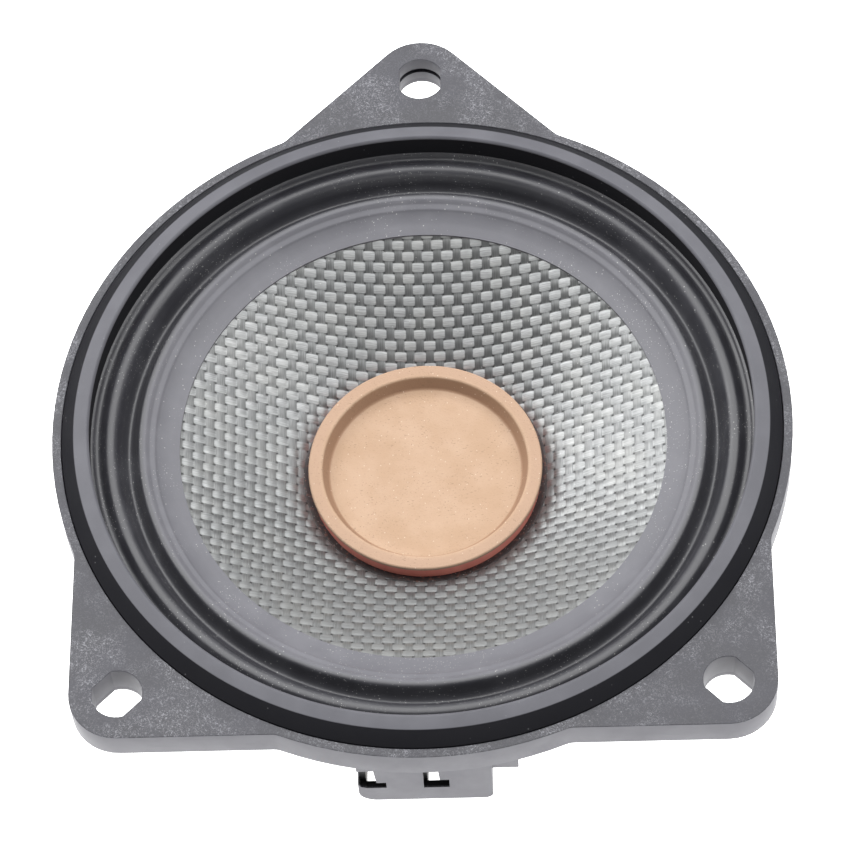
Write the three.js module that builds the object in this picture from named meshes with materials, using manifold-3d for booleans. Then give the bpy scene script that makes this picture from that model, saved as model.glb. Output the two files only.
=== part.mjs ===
// A shallow 4-inch car loudspeaker: woven cone, dished dust cap on a red-brown coil former,
// plastic basket with three bolt ears, neodymium cup motor and a plug socket under the near rim.
// Millimetres. The Z axis is the speaker's axis, with the rear of the magnet cup at z = 0 and
// the cone facing +Z; +Y points to the single ear, and -Y to the socket.
import * as THREE from 'three';
import { mergeVertices } from 'three/addons/utils/BufferGeometryUtils.js';
import Module from 'manifold-3d';

const wasm = await Module();
wasm.setup();

// Driving dimensions
const turn = 48; // facets around every round part
const flangeTop = 36; // height of the flange's front face above the magnet cup
const flangeThickness = 4.7;
const flangeRadius = 51;
const earSide = 47.15; // distance of an ear's straight sides from the axis
const earCorner = 6.7;
const earFillet = 2.8;
const earAngles = [90, 225, 315];
const slotRadius = 57.45; // distance of a bolt slot's centre from the axis
const slotWidth = 5.95;
const slotLength = 6.8;
const slotGroove = 0.5; // depth of the groove round the wall of the single ear's slot
const earBossHeight = 0.9; // raised pad around each slot under its ear
const lipThickness = 0.75; // rubber lip clamped between the basket and the front ring
const lipTop = flangeTop - 1.85;
const ringRecess = 49.75;
const rollOuter = 44.7; // where the rubber roll leaves its clamped lip
const coneEdge = 34.05;
const coneEdgeTop = flangeTop - 5.1;
const neck = 16.5;
const neckTop = flangeTop - 15.05;
const coneThickness = 0.8;
const formerOuter = 16.15;
const formerWall = 0.4;
const capRadius = 16.42;
const capTop = flangeTop - 12.2;
const capShell = 0.6;
const capRecess = 1.95;
const spiderFloor = 17.3;
const spiderThickness = 0.7;
const ledgeOuter = 31.6;
const cupRadius = 20;
const cupBore = 17.4;
const cupHeight = 13.5;
const cupFloor = 3.5;
const yokeFlangeRadius = 26;
const yokeFlangeTop = 9.2;
const yokeFlangeThickness = 1.2;
const poleRadius = 15.3;
const poleThickness = 3.6;
const magnetRadius = 14.2;
const coilHeight = 8;
const coilOuter = 16.75;
const screwCircle = 23.4;
const screwShank = 1.1;
const screwGap = 0.3; // clearance around every screw shank, terminal and cut edge
const windowInner = 34.5;
const windowOuter = 44.2;
const windowHalfAngle = 20;
const socketLeft = -9.1;
const socketRight = 8.9;
const socketFront = -49.8;
const socketBack = -42.6;
const socketBottom = flangeTop - 15.4;
const socketWall = 1.05;
const keyRib = [-1.0, 0.2]; // left and right faces of the rib that divides the socket
const shoulderReach = 3.6; // how far the socket's shoulder stands out to the right
const shoulderBottom = flangeTop - 7.2;
const shoulderSetBack = 0.5; // keeps the shoulder under the flange
const terminalWidth = 1.6;
const terminalSheet = 0.7;
const terminalPlaces = { left: -6, right: 5.4 };
const leadRadius = 0.5;

const socketTop = flangeTop - flangeThickness - screwGap;
const slope = (coneEdgeTop - neckTop) / (coneEdge - neck);
const radians = THREE.MathUtils.degToRad;

// Materials
function finish(color, roughness, metalness = 0) {
  return new THREE.MeshStandardMaterial({ color, roughness, metalness });
}
const flangePlastic = finish(0x55555a, 0.75);
const blackPlastic = finish(0x232326, 0.45);
const rubber = finish(0x2b2b2e, 0.55);
const wovenCone = finish(0x8e908e, 0.5);
const tanPaper = finish(0xa8825e, 0.75);
const redFilm = finish(0x6e2a1c, 0.25);
const glue = finish(0x1c1a19, 0.35);
const copper = finish(0xb4693c, 0.35, 0.9);
const spiderCloth = finish(0xb58f4a, 0.9);
const zincSteel = finish(0x9a9ca0, 0.35, 0.9);
const nickel = finish(0xb9bcc0, 0.25, 0.9);
const blackSteel = finish(0x2c2e31, 0.45, 0.6);
const brass = finish(0xb9a26a, 0.3, 0.9);
const braid = finish(0xb08d62, 0.6, 0.5);

// Merges shared vertices and drops the flat triangles that a profile on the axis leaves.
function clean(geometry) {
  const bare = geometry.clone();
  bare.deleteAttribute('normal');
  bare.deleteAttribute('uv');
  const merged = mergeVertices(bare, 1e-4);
  const index = [];
  for (let i = 0; i < merged.index.count; i += 3) {
    const [a, b, c] = [0, 1, 2].map((k) => merged.index.getX(i + k));
    if (a !== b && b !== c && c !== a) index.push(a, b, c);
  }
  merged.setIndex(index);
  return merged;
}

function solid(geometry) {
  const merged = clean(geometry);
  const vertProperties = new Float32Array(merged.attributes.position.array);
  const triVerts = new Uint32Array(merged.index.array);
  return new wasm.Manifold(new wasm.Mesh({ numProp: 3, vertProperties, triVerts }));
}

function geometryOf(body) {
  const mesh = body.getMesh();
  const geometry = new THREE.BufferGeometry();
  geometry.setAttribute('position', new THREE.BufferAttribute(mesh.vertProperties, 3));
  geometry.setIndex(new THREE.BufferAttribute(mesh.triVerts, 1));
  geometry.computeVertexNormals();
  return geometry;
}

// Turns a closed [radius, height] outline, listed anticlockwise, about the Z axis.
function turned(outline) {
  const onAxis = outline[0][0] === 0 && outline[outline.length - 1][0] === 0;
  const loop = onAxis ? outline : [...outline, outline[0]];
  const profile = loop.map(([r, z]) => new THREE.Vector2(r, z));
  return clean(new THREE.LatheGeometry(profile, turn).rotateX(Math.PI / 2));
}

// A strip of even height under a line of [radius, height] points that runs outwards.
function strip(top, drop) {
  const under = top.map(([r, z]) => [r, z - drop]);
  return [...under, ...[...top].reverse()];
}

function box(low, high) {
  const size = high.map((value, axis) => value - low[axis]);
  const middle = high.map((value, axis) => (value + low[axis]) / 2);
  return new THREE.BoxGeometry(...size).translate(...middle);
}

function raised(shape, low, high, facets = turn) {
  const options = { depth: high - low, bevelEnabled: false, curveSegments: facets };
  return new THREE.ExtrudeGeometry(shape, options).translate(0, 0, low);
}

// A disc with a rounded square corner at each ear, and a small fillet where ear meets disc.
function flangeOutline() {
  const shape = new THREE.Shape();
  const swing = Math.acos((earSide + earFillet) / (flangeRadius + earFillet));
  const cornerReach = (earSide - earCorner) * Math.SQRT2;
  let from = radians(earAngles[2] + 45) - swing - 2 * Math.PI;
  for (const degrees of earAngles) {
    const ear = radians(degrees);
    const before = ear - Math.PI / 4;
    const after = ear + Math.PI / 4;
    const reach = flangeRadius + earFillet;
    const first = before + swing;
    const last = after - swing;
    shape.absarc(0, 0, flangeRadius, from, first, false);
    shape.absarc(reach * Math.cos(first), reach * Math.sin(first), earFillet,
      first + Math.PI, before + Math.PI, true);
    shape.absarc(cornerReach * Math.cos(ear), cornerReach * Math.sin(ear), earCorner,
      before, after, false);
    shape.absarc(reach * Math.cos(last), reach * Math.sin(last), earFillet,
      after + Math.PI, last + Math.PI, true);
    from = last;
  }
  return shape;
}

// A round hole with two flats that run along the ear, centred on the origin.
function slotOutline(grow) {
  const shape = new THREE.Shape();
  const half = slotWidth / 2 + grow;
  const radius = slotLength / 2 + grow;
  const flat = Math.acos(half / radius);
  shape.absarc(0, 0, radius, flat, Math.PI - flat, false);
  shape.absarc(0, 0, radius, Math.PI + flat, 2 * Math.PI - flat, false);
  shape.closePath();
  return shape;
}

function atEar(geometry, degrees) {
  return geometry.translate(0, slotRadius, 0).rotateZ(radians(degrees - 90));
}

function sector(inner, outer, middle, halfAngle, low, high) {
  const shape = new THREE.Shape();
  const from = radians(middle - halfAngle);
  const to = radians(middle + halfAngle);
  shape.absarc(0, 0, outer, from, to, false);
  shape.absarc(0, 0, inner, to, from, true);
  shape.closePath();
  return raised(shape, low, high, 8);
}

function basket() {
  const underside = flangeTop - flangeThickness;
  const shelf = lipTop - lipThickness;
  const seatTop = yokeFlangeTop + 3.2;
  const bowl = turned([
    [cupRadius + 0.4, yokeFlangeTop], [27.6, yokeFlangeTop], [30.6, 14.4], [33.4, 15.4],
    [46.9, 28.6], [46.9, underside], [ringRecess + 0.5, underside], [ringRecess + 0.5, shelf],
    [rollOuter, shelf], [rollOuter, 29.6], [ledgeOuter + 0.4, spiderFloor + 0.8],
    [ledgeOuter + 0.4, spiderFloor], [28.5, spiderFloor], [26.9, seatTop],
    [cupRadius + 0.4, seatTop],
  ]);
  const recess = turned([
    [0, underside - 1], [ringRecess, underside - 1], [ringRecess, flangeTop + 1],
    [0, flangeTop + 1],
  ]);
  const plate = solid(raised(flangeOutline(), underside, flangeTop, 12));
  let body = plate.subtract(solid(recess)).add(solid(bowl));
  for (const degrees of earAngles) {
    const boss = raised(slotOutline(1.6), underside - earBossHeight, underside + 0.5, 6);
    const hole = raised(slotOutline(0), underside - 2, flangeTop + 1, 6);
    body = body.add(solid(atEar(boss, degrees)));
    body = body.subtract(solid(atEar(hole, degrees)));
  }
  const groove = raised(slotOutline(slotGroove), flangeTop - 3.1, flangeTop - 2.2, 6);
  body = body.subtract(solid(atEar(groove, earAngles[0])));
  for (let middle = 0; middle < 360; middle += 60) {
    const opening = sector(windowInner, windowOuter, middle, windowHalfAngle, 12, 30.6);
    body = body.subtract(solid(opening));
  }
  const socketBay = box(
    [socketLeft - screwGap, -flangeRadius, 12],
    [socketRight + screwGap, socketBack + screwGap, underside],
  );
  body = body.subtract(solid(socketBay));
  for (let k = 0; k < 4; k += 1) {
    const pilot = screwShape(screwShank + screwGap, yokeFlangeTop - 1, 12.0);
    body = body.subtract(solid(atScrew(pilot, k)));
  }
  return geometryOf(body);
}

function frontRing() {
  return turned([
    [45.85, lipTop], [49.6, lipTop], [49.6, flangeTop], [47.88, flangeTop + 1.79],
    [47.5, flangeTop + 2.0], [45.95, flangeTop + 2.18], [45.7, flangeTop + 1.95],
  ]);
}

// The rubber half-roll hangs into the basket, with a low bead and a sloping glued land.
function surround() {
  const roll = [
    [coneEdge, coneEdgeTop + 0.05], [35.4, 31.58], [36.8, 32.36], [38.4, 33.38], [38.95, 33.42],
    [39.4, 33.1], [39.75, 32.4], [40.3, 31.5], [40.9, 31.35], [41.4, 32.0], [42.2, 33.7],
    [42.9, 34.3], [43.7, 34.25], [rollOuter - 0.2, 33.6], [rollOuter + 0.3, 33.62],
    [rollOuter + 1, lipTop],
  ];
  const under = roll.slice(0, -2).map(([r, z]) => [r, z - 1]);
  const shelf = lipTop - lipThickness;
  return turned([
    ...under, [rollOuter, shelf], [49.4, shelf], [49.4, lipTop], ...[...roll].reverse(),
  ]);
}

function cone() {
  return turned(strip([[neck, neckTop], [coneEdge, coneEdgeTop]], coneThickness));
}

function neckGlueBead() {
  const reach = 0.9;
  return turned([
    [formerOuter, neckTop - coneThickness], [neck, neckTop - coneThickness], [neck, neckTop],
    [neck + reach, neckTop + reach * slope], [neck + 0.35, neckTop + 0.35],
    [formerOuter, neckTop + 0.1],
  ]);
}

function dustCap() {
  const rimUnder = capTop - capShell;
  const dish = capTop - capRecess;
  return turned([
    [0, dish - capShell], [13.3, dish - capShell + 0.1], [14.2, rimUnder - 0.1],
    [14.6, rimUnder], [capRadius, rimUnder], [capRadius, capTop - 0.2],
    [capRadius - 0.25, capTop], [14.7, capTop], [14.2, capTop - 0.25], [13.5, dish + 0.15],
    [13.0, dish], [0, dish - 0.12],
  ]);
}

function coilFormer() {
  const low = coilBase() - 0.3;
  const high = capTop - capShell;
  const inner = formerOuter - formerWall;
  return turned([[inner, low], [formerOuter, low], [formerOuter, high], [inner, high]]);
}

function coilBase() {
  return cupHeight - poleThickness / 2 - coilHeight / 2;
}

function voiceCoil() {
  const low = coilBase();
  return turned([
    [formerOuter, low], [coilOuter, low], [coilOuter, low + coilHeight],
    [formerOuter, low + coilHeight],
  ]);
}

function spider() {
  const top = spiderFloor + spiderThickness;
  const waves = [[formerOuter, top], [18.2, top]];
  for (let k = 0; k < 6; k += 1) {
    waves.push([19.4 + 1.5 * k, top + (k % 2 ? -0.55 : 0.6)]);
  }
  waves.push([28.2, top], [ledgeOuter, top]);
  return turned(strip(waves, spiderThickness));
}

function magnetCup() {
  const under = yokeFlangeTop - yokeFlangeThickness;
  let cup = solid(turned([
    [0, 0], [cupRadius - 0.9, 0], [cupRadius, 0.9], [cupRadius, under],
    [yokeFlangeRadius, under], [yokeFlangeRadius, yokeFlangeTop], [cupRadius, yokeFlangeTop],
    [cupRadius, cupHeight], [cupBore, cupHeight], [cupBore, cupFloor], [0, cupFloor],
  ]));
  for (let k = 0; k < 4; k += 1) {
    const hole = screwShape(screwShank + screwGap, under - 1, yokeFlangeTop + 1);
    cup = cup.subtract(solid(atScrew(hole, k)));
  }
  return geometryOf(cup);
}

function magnetDisc() {
  const top = cupHeight - poleThickness;
  return turned([[0, cupFloor], [magnetRadius, cupFloor], [magnetRadius, top], [0, top]]);
}

function poleWasher() {
  const low = cupHeight - poleThickness;
  return turned([
    [0, low], [poleRadius, low], [poleRadius, cupHeight - 0.4], [poleRadius - 0.4, cupHeight],
    [0, cupHeight],
  ]);
}

function screwShape(radius, low, high) {
  return new THREE.CylinderGeometry(radius, radius, high - low, 16)
    .rotateX(Math.PI / 2).translate(0, 0, (low + high) / 2);
}

function atScrew(geometry, k) {
  return geometry.translate(screwCircle, 0, 0).rotateZ(radians(45 + 90 * k));
}

// A pan head under the yoke flange, with a cross recess, and a shank up into the basket.
function cupScrew(k) {
  const under = yokeFlangeTop - yokeFlangeThickness;
  const head = new THREE.LatheGeometry(
    [[0, -1.6], [1.4, -1.6], [2.05, -1.25], [2.3, -0.6], [2.3, 0], [screwShank, 0],
      [screwShank, 3.7], [0, 3.7]].map(([r, z]) => new THREE.Vector2(r, z)), 16)
    .rotateX(Math.PI / 2).translate(0, 0, under);
  let body = solid(head);
  for (const [x, y] of [[1.25, 0.28], [0.28, 1.25]]) {
    const blade = box([-x, -y, under - 2], [x, y, under - 0.8]);
    body = body.subtract(solid(blade));
  }
  const raw = geometryOf(body);
  return atScrew(raw, k);
}

// A U-shaped strip: blade in the socket, through the back wall, then down to a solder end.
function terminal(x) {
  const blade = -46.4;
  const back = socketBack + socketWall + 0.5;
  const over = socketTop - socketWall - 0.9;
  const outline = [
    [blade - terminalSheet, socketBottom + 1.0], [blade, socketBottom + 1.0],
    [blade, over - terminalSheet], [back - terminalSheet, over - terminalSheet],
    [back - terminalSheet, over - 1.5], [back, over - 1.5], [back, over],
    [blade - terminalSheet, over],
  ];
  const shape = new THREE.Shape(outline.map(([y, z]) => new THREE.Vector2(y, z)));
  return raised(shape, 0, terminalWidth).rotateX(Math.PI / 2).rotateZ(Math.PI / 2)
    .translate(x - terminalWidth / 2, 0, 0);
}

// A latch window: a cutter with the (x, z) outline, as deep as the socket's front wall.
function latchWindow(outline) {
  const shape = new THREE.Shape(outline.map(([x, z]) => new THREE.Vector2(x, z)));
  const past = 0.2;
  return solid(raised(shape, 0, socketWall + 2 * past, 6)
    .rotateX(Math.PI / 2).translate(0, socketFront + socketWall + past, 0));
}

// A walled box open below, divided by a rib, with a shoulder on its right and two latch
// windows in its face. The left window also opens the box's left edge.
function connectorHousing() {
  const face = new THREE.Shape();
  const corner = 2.5;
  face.moveTo(socketLeft, socketTop);
  face.lineTo(socketLeft, socketBottom + corner);
  face.absarc(socketLeft + corner, socketBottom + corner, corner, Math.PI, 1.5 * Math.PI);
  face.absarc(socketRight - corner / 2, socketBottom + corner / 2, corner / 2,
    1.5 * Math.PI, 2 * Math.PI);
  face.lineTo(socketRight, shoulderBottom);
  face.lineTo(socketRight + shoulderReach, shoulderBottom);
  face.lineTo(socketRight + shoulderReach, socketTop);
  face.closePath();
  const depth = socketBack - socketFront;
  const block = raised(face, 0, depth, 6).rotateX(Math.PI / 2).translate(0, socketBack, 0);
  let body = solid(block);
  const past = socketRight + shoulderReach + 1;
  const shoulderFront = box(
    [socketRight, socketFront - 1, shoulderBottom - 1],
    [past, socketFront + shoulderSetBack, socketTop + 1],
  );
  const shoulderRelief = box(
    [socketRight, socketFront + 1.6, socketBottom],
    [past, socketBack + 1, socketTop + 1],
  );
  body = body.subtract(solid(shoulderFront)).subtract(solid(shoulderRelief));
  const cavities = [
    [socketLeft + socketWall, keyRib[0]],
    [keyRib[1], socketRight - socketWall],
  ];
  for (const [left, right] of cavities) {
    const cavity = box(
      [left, socketFront + socketWall, socketBottom - 1],
      [right, socketBack - socketWall, socketTop - socketWall],
    );
    body = body.subtract(solid(cavity));
  }
  const sill = socketBottom + 3.8;
  const head = socketTop - 1.5;
  const edge = socketLeft - 0.5;
  const leftWindow = latchWindow([
    [edge, head], [edge, sill + 1.2], [socketLeft, sill + 1.2], [socketLeft + 0.35, sill + 0.35],
    [socketLeft + 1.2, sill], [-5.3, sill], [-5.3, sill + 1.5], [-6.6, sill + 1.5], [-6.85, head],
  ]);
  const middleWindow = latchWindow([
    [-0.3, head], [-0.3, sill - 0.2], [3.15, sill - 0.2], [3.15, sill + 2], [1.9, sill + 2],
    [1.75, head],
  ]);
  body = body.subtract(leftWindow).subtract(middleWindow);
  for (const x of Object.values(terminalPlaces)) {
    const over = socketTop - socketWall - 0.9;
    const slit = box(
      [x - terminalWidth / 2 - screwGap, socketBack - socketWall - 1, over - 1],
      [x + terminalWidth / 2 + screwGap, socketBack + 1, over + screwGap],
    );
    body = body.subtract(solid(slit));
  }
  return geometryOf(body);
}

// A braided lead from a terminal's solder end, in a slack curve, to the neck of the cone.
function tinselLead(x) {
  const start = socketBack + socketWall + 0.5 + leadRadius + 0.3;
  const route = new THREE.CatmullRomCurve3([
    new THREE.Vector3(x, start, 28.2),
    new THREE.Vector3(x, -37.6, 26.2),
    new THREE.Vector3(x * 0.95, -31, 22.6),
    new THREE.Vector3(x * 0.9, -24.5, 20.4),
    new THREE.Vector3(x * 0.85, -18.6, 19.35),
    new THREE.Vector3(x * 0.85, -16.9, 19.3),
  ]);
  const section = new THREE.Shape();
  section.absarc(0, 0, leadRadius, 0, 2 * Math.PI);
  const options = { extrudePath: route, steps: 16, curveSegments: 4, bevelEnabled: false };
  return new THREE.ExtrudeGeometry(section, options);
}

const speaker = new THREE.Group();

function place(name, geometry, material) {
  const mesh = new THREE.Mesh(geometry, material);
  mesh.name = name;
  speaker.add(mesh);
}

place('basket', basket(), flangePlastic);
place('front_ring', frontRing(), blackPlastic);
place('surround', surround(), rubber);
place('cone', cone(), wovenCone);
place('neck_glue_bead', neckGlueBead(), glue);
place('dust_cap', dustCap(), tanPaper);
place('coil_former', coilFormer(), redFilm);
place('voice_coil', voiceCoil(), copper);
place('spider', spider(), spiderCloth);
place('magnet_cup', magnetCup(), zincSteel);
place('magnet_disc', magnetDisc(), nickel);
place('pole_washer', poleWasher(), zincSteel);
for (let k = 0; k < 4; k += 1) {
  place(`cup_screw_${k + 1}`, cupScrew(k), blackSteel);
}
place('connector_housing', connectorHousing(), flangePlastic);
for (const [side, x] of Object.entries(terminalPlaces)) {
  place(`terminal_${side}`, terminal(x), brass);
  place(`tinsel_lead_${side}`, tinselLead(x), braid);
}

export default speaker;
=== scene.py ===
"""A shallow 4-inch car loudspeaker with a woven cone, on its magnet cup in a white studio."""

from math import acos, atan2, ceil, cos, hypot, pi, radians, sin, sqrt, tan

import bmesh
import bpy
import numpy as np
from mathutils import Matrix, Vector


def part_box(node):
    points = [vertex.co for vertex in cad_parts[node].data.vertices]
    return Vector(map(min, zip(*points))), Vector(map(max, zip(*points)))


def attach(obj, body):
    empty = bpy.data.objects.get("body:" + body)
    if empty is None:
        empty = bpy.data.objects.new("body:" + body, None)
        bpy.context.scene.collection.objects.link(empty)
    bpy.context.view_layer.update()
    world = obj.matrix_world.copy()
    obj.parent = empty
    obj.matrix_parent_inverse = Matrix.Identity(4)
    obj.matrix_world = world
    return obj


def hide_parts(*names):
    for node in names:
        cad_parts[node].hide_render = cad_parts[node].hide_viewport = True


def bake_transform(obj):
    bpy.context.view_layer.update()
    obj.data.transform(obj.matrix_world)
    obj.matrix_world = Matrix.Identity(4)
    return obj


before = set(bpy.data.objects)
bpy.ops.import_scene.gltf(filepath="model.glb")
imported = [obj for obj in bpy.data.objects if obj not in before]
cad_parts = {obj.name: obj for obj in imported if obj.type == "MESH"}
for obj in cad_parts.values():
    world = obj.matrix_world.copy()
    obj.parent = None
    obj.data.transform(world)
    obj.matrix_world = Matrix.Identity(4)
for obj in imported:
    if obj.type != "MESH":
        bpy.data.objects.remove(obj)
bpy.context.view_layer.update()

MM = 0.001
CHASSIS = "chassis"
DIAPHRAGM = "diaphragm"


def top_of(node):
    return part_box(node)[1].z / MM


def bottom_of(node):
    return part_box(node)[0].z / MM


def radius_of(node):
    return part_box(node)[1].x / MM


# Below this, two numbers count as the same.
TINY = 1e-6

# Sizes in millimetres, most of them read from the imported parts.
FACE = top_of("basket")
FLANGE_RADIUS = radius_of("basket")
EAR_ANGLES = (90, 225, 315)
SPOKE_ANGLES = range(30, 360, 60)
WINDOW_ANGLES = range(0, 360, 60)
EAR_CORNER = 6.7
EAR_SIDE = (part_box("basket")[1].y / MM - EAR_CORNER) / sqrt(2) + EAR_CORNER
EAR_FILLET = 2.8
SLOT_RADIUS = 57.45
SLOT_WIDTH = 5.95
SLOT_LENGTH = 6.8
SLOT_GROOVE = 0.5
BOSS_MARGIN = 1.6
BOSS_HEIGHT = 0.9
RING_RECESS = 49.75
GAP = 0.3  # between the socket and the basket
CAD_EDGE = 0.12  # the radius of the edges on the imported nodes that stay
UNDERSIDE = top_of("connector_housing") + GAP
LIP_TOP = bottom_of("front_ring")
RUBBER = 0.75  # the thickness of the surround
SHELF = LIP_TOP - RUBBER
ROLL_OUTER = 44.7
CONE_EDGE = radius_of("cone")
CONE_TOP = top_of("cone")
NECK = 16.5
NECK_TOP = bottom_of("cone") + 0.8
CONE_SLOPE = (CONE_TOP - NECK_TOP) / (CONE_EDGE - NECK)
FORMER = radius_of("coil_former")
CAP_RADIUS = radius_of("dust_cap")
CAP_TOP = top_of("dust_cap")
CAP_RECESS = 1.95
SPIDER_FLOOR = 17.3
LEDGE = radius_of("spider")
CUP_FLANGE = radius_of("magnet_cup")
CUP_RADIUS = 20.0
CUP_BORE = 17.4
CUP_FLOOR = bottom_of("magnet_disc")
CUP_TOP = top_of("magnet_cup")
YOKE_TOP = 9.2
YOKE_UNDER = 8.0
SCREWS = 4
SCREW_CIRCLE = 23.4
SCREW_HOLE = 1.4
SOCKET_RIGHT = 8.9  # the main box, without the shoulder beside it
SOCKET_FRONT = -49.8
YARN_PITCH = 1.39
YARN_CRIMP = 0.36  # the rise and dip of the yarns, as a share of their height


# Mesh helpers

def link(mesh, name):
    obj = bpy.data.objects.new(name, mesh)
    bpy.context.scene.collection.objects.link(obj)
    return obj


def shade(mesh, sharp=32):
    """Smooth shading, with the edges that turn by more than sharp degrees kept sharp."""
    mesh.shade_smooth()
    mesh.set_sharp_from_angle(angle=radians(sharp))


def rounded(points, step=10):
    """A closed outline whose (x, y, radius) corners become arcs, a point every step degrees."""
    share = 0.49  # of each side, so that neighbouring arcs can't meet
    outline = []
    count = len(points)
    for k, (x, y, radius) in enumerate(points):
        here = Vector((x, y))
        back = Vector(points[k - 1][:2]) - here
        ahead = Vector(points[(k + 1) % count][:2]) - here
        if radius <= 0 or back.length < TINY or ahead.length < TINY:
            outline.append((x, y))
            continue
        between = back.angle(ahead)
        reach = min(radius / tan(between / 2), share * back.length, share * ahead.length)
        radius = reach * tan(between / 2)
        start = here + back.normalized() * reach
        end = here + ahead.normalized() * reach
        inward = (back.normalized() + ahead.normalized()).normalized()
        middle = here + inward * hypot(reach, radius)
        turn = pi - between
        first = atan2(start.y - middle.y, start.x - middle.x)
        last = atan2(end.y - middle.y, end.x - middle.x)
        sweep = (last - first + pi) % (2 * pi) - pi
        parts = max(2, ceil(abs(turn) / radians(step)))
        for i in range(parts + 1):
            a = first + sweep * i / parts
            outline.append((middle.x + radius * cos(a), middle.y + radius * sin(a)))
    return outline


def smooth_line(points, parts):
    """An open line through the points, a Catmull-Rom spline with parts pieces to each span."""
    p = [Vector(points[0]) * 2 - Vector(points[1]), *map(Vector, points),
         Vector(points[-1]) * 2 - Vector(points[-2])]
    line = []
    for k in range(1, len(p) - 2):
        for i in range(parts):
            t = i / parts
            line.append(tuple(0.5 * (2 * p[k] + (p[k + 1] - p[k - 1]) * t
                        + (2 * p[k - 1] - 5 * p[k] + 4 * p[k + 1] - p[k + 2]) * t * t
                        + (3 * p[k] - p[k - 1] - 3 * p[k + 1] + p[k + 2]) * t ** 3)))
    line.append(tuple(points[-1]))
    return line


def lathe(name, outline, around=256):
    """Turns a closed (r, z) outline in millimetres about the Z axis.

    An outline that starts on the axis has to end on it too.
    """
    verts = []
    rows = []
    for r, z in outline:
        if r < TINY:
            rows.append([len(verts)] * around)
            verts.append((0, 0, z * MM))
            continue
        rows.append(list(range(len(verts), len(verts) + around)))
        for k in range(around):
            a = 2 * pi * k / around
            verts.append((r * cos(a) * MM, r * sin(a) * MM, z * MM))
    faces = []
    closed = outline[0][0] > TINY
    last = len(rows) if closed else len(rows) - 1
    for i in range(last):
        low, high = rows[i], rows[(i + 1) % len(rows)]
        for k in range(around):
            n = (k + 1) % around
            corners = [low[k], low[n], high[n], high[k]]
            face = [c for j, c in enumerate(corners) if c not in corners[:j]]
            if len(face) > 2:
                faces.append(face)
    mesh = bpy.data.meshes.new(name)
    mesh.from_pydata(verts, [], faces)
    tidy_normals(mesh)
    shade(mesh)
    return link(mesh, name)


def tidy_normals(mesh):
    """Welds points that coincide, 0.1 micrometre or less apart, and turns all faces outward."""
    bm = bmesh.new()
    bm.from_mesh(mesh)
    bmesh.ops.remove_doubles(bm, verts=bm.verts, dist=0.0001 * MM)
    bmesh.ops.recalc_face_normals(bm, faces=bm.faces)
    bm.to_mesh(mesh)
    bm.free()


def evaluated_mesh(obj):
    """The object's mesh with its curve settings and modifiers applied."""
    bpy.context.view_layer.update()
    evaluated = obj.evaluated_get(bpy.context.evaluated_depsgraph_get())
    return bpy.data.meshes.new_from_object(evaluated)


def slab(name, outlines, low, high, edge=0.0):
    """A flat plate in millimetres with holes; the first outline is the outside.

    Its edges are rounded to the radius edge.
    """
    curve = bpy.data.curves.new(name, "CURVE")
    curve.dimensions = "2D"
    curve.fill_mode = "BOTH"
    curve.extrude = ((high - low) / 2 - edge) * MM
    curve.bevel_depth = edge * MM
    curve.bevel_resolution = 3
    curve.offset = -edge * MM
    for outline in outlines:
        spline = curve.splines.new("POLY")
        spline.points.add(len(outline) - 1)
        for point, (x, y) in zip(spline.points, outline):
            point.co = (x * MM, y * MM, 0, 1)
        spline.use_cyclic_u = True
    made = bpy.data.objects.new(name + "_curve", curve)
    bpy.context.scene.collection.objects.link(made)
    mesh = evaluated_mesh(made)
    bpy.data.objects.remove(made)
    bpy.data.curves.remove(curve)
    mesh.name = name
    mesh.transform(Matrix.Translation((0, 0, (low + high) / 2 * MM)))
    tidy_normals(mesh)
    shade(mesh)
    return link(mesh, name)


def combine(obj, others, operation="DIFFERENCE"):
    """Cuts or joins other closed objects, which are then removed."""
    for other in others:
        modifier = obj.modifiers.new("combine", "BOOLEAN")
        modifier.operation = operation
        modifier.solver = "EXACT"
        modifier.object = other
    mesh = evaluated_mesh(obj)
    obj.modifiers.clear()
    old = obj.data
    obj.data = mesh
    mesh.name = obj.name
    bpy.data.meshes.remove(old)
    for other in others:
        bpy.data.objects.remove(other)
    tidy_normals(mesh)
    shade(mesh)
    return obj


def block(name, low, high):
    """A box in millimetres between two corners."""
    size = [b - a for a, b in zip(low, high)]
    middle = [(a + b) / 2 for a, b in zip(low, high)]
    bm = bmesh.new()
    bmesh.ops.create_cube(bm, size=1)
    bmesh.ops.scale(bm, verts=bm.verts, vec=[s * MM for s in size])
    bmesh.ops.translate(bm, verts=bm.verts, vec=[m * MM for m in middle])
    mesh = bpy.data.meshes.new(name)
    bm.to_mesh(mesh)
    bm.free()
    shade(mesh)
    return link(mesh, name)


def spin(obj, degrees):
    obj.data.transform(Matrix.Rotation(radians(degrees), 4, "Z"))
    return obj


def shift(obj, x=0, y=0, z=0):
    obj.data.transform(Matrix.Translation((x * MM, y * MM, z * MM)))
    return obj


# Material helpers

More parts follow.
